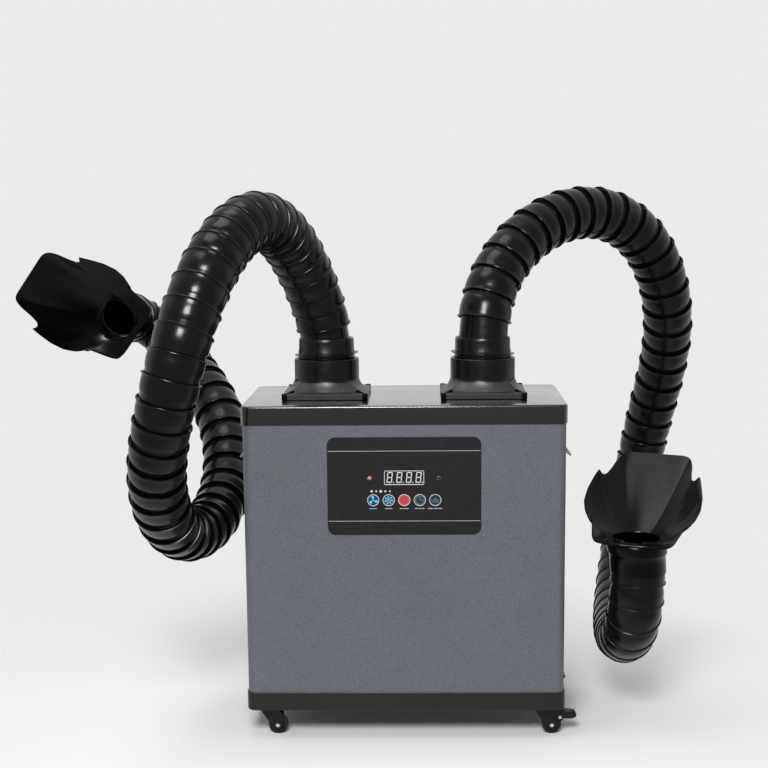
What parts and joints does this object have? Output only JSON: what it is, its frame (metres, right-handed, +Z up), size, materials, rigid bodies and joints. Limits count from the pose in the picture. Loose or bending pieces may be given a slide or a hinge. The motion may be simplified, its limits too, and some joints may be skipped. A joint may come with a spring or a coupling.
{
  "type": "solder fume extractor",
  "caption": "Wheeled filter cabinet with a control panel on its front and two positionable ribbed ducts rising from its lid, each ending in a scoop hood.",
  "frame": {"origin": "centre of the whole object's box, ducts and hoods included, on the floor", "axes": "+Z up; +X across the front, towards the right as the control panel is read; +Y from the control panel to the rear"},
  "size_m": [1.0341, 0.7752, 0.7409],
  "materials": {
    "body_paint": "speckled blue-grey powder coat",
    "black_paint": "gloss black powder coat",
    "duct_plastic": "gloss black ribbed duct",
    "flange_plastic": "gloss black moulding",
    "hood_plastic": "satin black moulding",
    "overlay_film": "matt printed film",
    "display": "dark window",
    "blue_key": "printed key",
    "red_key": "printed key",
    "grey_key": "printed key",
    "board": "circuit board",
    "filter_card": "card frame and pleated medium",
    "filter_mat": "white mat",
    "zinc_sheet": "zinc-plated sheet",
    "motor_steel": "motor case",
    "impeller_plastic": "moulded impeller",
    "supply_case": "perforated metal case",
    "satin_plastic": "satin black plastic",
    "wheel_rubber": "black tread"
  },
  "bodies": {
    "cabinet": {"base_tray": "black_paint", "cabinet_wrap": "body_paint", "rear_panel": "body_paint", "filter_shelf": "zinc_sheet", "main_filter": "filter_card", "medium_filter": "filter_card", "prefilter_mat": "filter_mat", "fan_housing": "zinc_sheet", "fan_motor": "motor_steel", "exhaust_grille": "satin_plastic", "control_overlay": "overlay_film", "display_module": "display", "control_board": "board", "power_supply": "supply_case", "power_inlet": "satin_plastic", "latch_base_left": "zinc_sheet", "latch_base_right": "zinc_sheet", "lid": "black_paint", "left_flange": "flange_plastic", "right_flange": "flange_plastic", "caster_plate_front_left": "zinc_sheet", "caster_plate_front_right": "zinc_sheet", "caster_plate_rear_left": "zinc_sheet", "caster_plate_rear_right": "zinc_sheet"},
    "fan_impeller": {"fan_impeller": "impeller_plastic"},
    "fan_down_button": {"fan_down_button": "blue_key"},
    "fan_up_button": {"fan_up_button": "blue_key"},
    "power_button": {"power_button": "red_key"},
    "timer_button": {"timer_button": "grey_key"},
    "mode_button": {"mode_button": "blue_key"},
    "rocker_switch": {"rocker_switch": "satin_plastic"},
    "latch_lever_left": {"latch_lever_left": "zinc_sheet"},
    "latch_lever_right": {"latch_lever_right": "zinc_sheet"},
    "caster_fork_front_left": {"caster_fork_front_left": "black_paint"},
    "caster_wheel_front_left": {"caster_wheel_front_left": "wheel_rubber"},
    "caster_fork_front_right": {"caster_fork_front_right": "black_paint"},
    "caster_wheel_front_right": {"caster_wheel_front_right": "wheel_rubber"},
    "brake_pedal_front_right": {"brake_pedal_front_right": "satin_plastic"},
    "caster_fork_rear_left": {"caster_fork_rear_left": "black_paint"},
    "caster_wheel_rear_left": {"caster_wheel_rear_left": "wheel_rubber"},
    "caster_fork_rear_right": {"caster_fork_rear_right": "black_paint"},
    "caster_wheel_rear_right": {"caster_wheel_rear_right": "wheel_rubber"},
    "brake_pedal_rear_right": {"brake_pedal_rear_right": "satin_plastic"},
    "left_duct_1": {"left_duct_1": "duct_plastic"},
    "left_duct_2": {"left_duct_2": "duct_plastic"},
    "left_duct_3": {"left_duct_3": "duct_plastic"},
    "left_duct_4": {"left_duct_4": "duct_plastic"},
    "left_duct_5": {"left_duct_5": "duct_plastic"},
    "left_duct_6": {"left_duct_6": "duct_plastic"},
    "left_duct_7": {"left_duct_7": "duct_plastic"},
    "left_duct_8": {"left_duct_8": "duct_plastic"},
    "left_hood": {"left_hood": "hood_plastic"},
    "right_duct_1": {"right_duct_1": "duct_plastic"},
    "right_duct_2": {"right_duct_2": "duct_plastic"},
    "right_duct_3": {"right_duct_3": "duct_plastic"},
    "right_duct_4": {"right_duct_4": "duct_plastic"},
    "right_duct_5": {"right_duct_5": "duct_plastic"},
    "right_duct_6": {"right_duct_6": "duct_plastic"},
    "right_duct_7": {"right_duct_7": "duct_plastic"},
    "right_hood": {"right_hood": "hood_plastic"}
  },
  "joints": [
    {"name": "fan_spin", "type": "hinge", "parent": "cabinet", "child": "fan_impeller", "pos_m": [0.0831, -0.0537, 0.14], "axis": [0, 0, 1], "continuous": true},
    {"name": "fan_down_button_press", "type": "slide", "parent": "cabinet", "child": "fan_down_button", "axis": [0, 1, 0], "range_m": [0, 0.0015], "stiffness_N_per_m": 600},
    {"name": "fan_up_button_press", "type": "slide", "parent": "cabinet", "child": "fan_up_button", "axis": [0, 1, 0], "range_m": [0, 0.0015], "stiffness_N_per_m": 600},
    {"name": "power_button_press", "type": "slide", "parent": "cabinet", "child": "power_button", "axis": [0, 1, 0], "range_m": [0, 0.0015], "stiffness_N_per_m": 600},
    {"name": "timer_button_press", "type": "slide", "parent": "cabinet", "child": "timer_button", "axis": [0, 1, 0], "range_m": [0, 0.0015], "stiffness_N_per_m": 600},
    {"name": "mode_button_press", "type": "slide", "parent": "cabinet", "child": "mode_button", "axis": [0, 1, 0], "range_m": [0, 0.0015], "stiffness_N_per_m": 600},
    {"name": "rocker_rock", "type": "hinge", "parent": "cabinet", "child": "rocker_switch", "pos_m": [0.2186, 0.0476, 0.085], "axis": [1, 0, 0], "range_deg": [0, 14]},
    {"name": "latch_left_open", "type": "hinge", "parent": "cabinet", "child": "latch_lever_left", "pos_m": [-0.136, -0.0657, 0.38], "axis": [0, -1, 0], "range_deg": [0, 50]},
    {"name": "latch_right_open", "type": "hinge", "parent": "cabinet", "child": "latch_lever_right", "pos_m": [0.3022, -0.0657, 0.38], "axis": [0, 1, 0], "range_deg": [0, 50]},
    {"name": "caster_front_left_swivel", "type": "hinge", "parent": "cabinet", "child": "caster_fork_front_left", "pos_m": [-0.1039, -0.1527, 0.0392], "axis": [0, 0, 1], "continuous": true},
    {"name": "caster_front_left_roll", "type": "hinge", "parent": "caster_fork_front_left", "child": "caster_wheel_front_left", "pos_m": [-0.0924, -0.1527, 0.013], "axis": [0, 1, 0], "continuous": true},
    {"name": "caster_front_right_swivel", "type": "hinge", "parent": "cabinet", "child": "caster_fork_front_right", "pos_m": [0.2701, -0.1527, 0.0392], "axis": [0, 0, 1], "continuous": true},
    {"name": "caster_front_right_roll", "type": "hinge", "parent": "caster_fork_front_right", "child": "caster_wheel_front_right", "pos_m": [0.2816, -0.1527, 0.013], "axis": [0, 1, 0], "continuous": true},
    {"name": "brake_front_right_press", "type": "hinge", "parent": "caster_fork_front_right", "child": "brake_pedal_front_right", "pos_m": [0.2926, -0.1527, 0.0245], "axis": [0, 1, 0], "range_deg": [0, 12]},
    {"name": "caster_rear_left_swivel", "type": "hinge", "parent": "cabinet", "child": "caster_fork_rear_left", "pos_m": [-0.1039, 0.0213, 0.0392], "axis": [0, 0, 1], "continuous": true},
    {"name": "caster_rear_left_roll", "type": "hinge", "parent": "caster_fork_rear_left", "child": "caster_wheel_rear_left", "pos_m": [-0.0924, 0.0213, 0.013], "axis": [0, 1, 0], "continuous": true},
    {"name": "caster_rear_right_swivel", "type": "hinge", "parent": "cabinet", "child": "caster_fork_rear_right", "pos_m": [0.2701, 0.0213, 0.0392], "axis": [0, 0, 1], "continuous": true},
    {"name": "caster_rear_right_roll", "type": "hinge", "parent": "caster_fork_rear_right", "child": "caster_wheel_rear_right", "pos_m": [0.2816, 0.0213, 0.013], "axis": [0, 1, 0], "continuous": true},
    {"name": "brake_rear_right_press", "type": "hinge", "parent": "caster_fork_rear_right", "child": "brake_pedal_rear_right", "pos_m": [0.2926, 0.0213, 0.0245], "axis": [0, 1, 0], "range_deg": [0, 12]},
    {"name": "left_base_swivel", "type": "hinge", "parent": "cabinet", "child": "left_duct_1", "pos_m": [-0.0239, -0.0657, 0.515], "axis": [0, 0, 1], "range_deg": [-4, 20]},
    {"name": "left_bend_1", "type": "hinge", "parent": "left_duct_1", "child": "left_duct_2", "pos_m": [-0.07516, -0.15569, 0.67888], "axis": [-0.9022, 0.4314, 0], "range_deg": [-2, 12]},
    {"name": "left_bend_2", "type": "hinge", "parent": "left_duct_2", "child": "left_duct_3", "pos_m": [-0.158, -0.30723, 0.62095], "axis": [0.397, 0.6796, -0.6169], "range_deg": [-6, 12]},
    {"name": "left_bend_3", "type": "hinge", "parent": "left_duct_3", "child": "left_duct_4", "pos_m": [-0.21131, -0.33489, 0.4361], "axis": [0.8657, 0.5006, 0], "range_deg": [-6, 10]},
    {"name": "left_bend_4", "type": "hinge", "parent": "left_duct_4", "child": "left_duct_5", "pos_m": [-0.21935, -0.19727, 0.29563], "axis": [-0.0512, -0.4279, -0.9024], "range_deg": [-10, 1]},
    {"name": "left_bend_5", "type": "hinge", "parent": "left_duct_5", "child": "left_duct_6", "pos_m": [-0.18628, -0.00399, 0.28712], "axis": [0.989, -0.148, 0], "range_deg": [-6, 12]},
    {"name": "left_bend_6", "type": "hinge", "parent": "left_duct_6", "child": "left_duct_7", "pos_m": [-0.20808, 0.1507, 0.40945], "axis": [-0.2878, 0.5147, -0.8076], "range_deg": [-12, 12]},
    {"name": "left_bend_7", "type": "hinge", "parent": "left_duct_7", "child": "left_duct_8", "pos_m": [-0.28859, 0.31878, 0.48346], "axis": [0.9275, 0.3738, 0], "range_deg": [-12, 12]},
    {"name": "left_hood_swivel", "type": "hinge", "parent": "left_duct_8", "child": "left_hood", "pos_m": [-0.3699, 0.2883, 0.542], "axis": [-0.1601, -0.9834, -0.085], "range_deg": [-90, 90]},
    {"name": "right_base_swivel", "type": "hinge", "parent": "cabinet", "child": "right_duct_1", "pos_m": [0.1901, -0.0657, 0.515], "axis": [0, 0, 1], "range_deg": [-17, 20]},
    {"name": "right_bend_1", "type": "hinge", "parent": "right_duct_1", "child": "right_duct_2", "pos_m": [0.27051, 0.00853, 0.67923], "axis": [0.6123, -0.7906, 0], "range_deg": [-2, 12]},
    {"name": "right_bend_2", "type": "hinge", "parent": "right_duct_2", "child": "right_duct_3", "pos_m": [0.43238, 0.11592, 0.65618], "axis": [-0.5657, -0.3965, -0.723], "range_deg": [-10, 10]},
    {"name": "right_bend_3", "type": "hinge", "parent": "right_duct_3", "child": "right_duct_4", "pos_m": [0.48097, 0.21463, 0.48292], "axis": [0.9981, 0.0616, 0], "range_deg": [-8, 12]},
    {"name": "right_bend_4", "type": "hinge", "parent": "right_duct_4", "child": "right_duct_5", "pos_m": [0.45244, 0.28404, 0.29091], "axis": [0.983, 0.0644, -0.1719], "range_deg": [-8, 8]},
    {"name": "right_bend_5", "type": "hinge", "parent": "right_duct_5", "child": "right_duct_6", "pos_m": [0.41811, 0.17727, 0.12634], "axis": [-0.9873, 0.1588, 0], "range_deg": [-6, 12]},
    {"name": "right_bend_6", "type": "hinge", "parent": "right_duct_6", "child": "right_duct_7", "pos_m": [0.3956, -0.02591, 0.10107], "axis": [-0.0125, -0.1656, -0.9861], "range_deg": [-12, 9]},
    {"name": "right_hood_swivel", "type": "hinge", "parent": "right_duct_7", "child": "right_hood", "pos_m": [0.3891, -0.1637, 0.229], "axis": [0.02, -0.05, 0.9985], "range_deg": [-90, 30]}
  ]
}
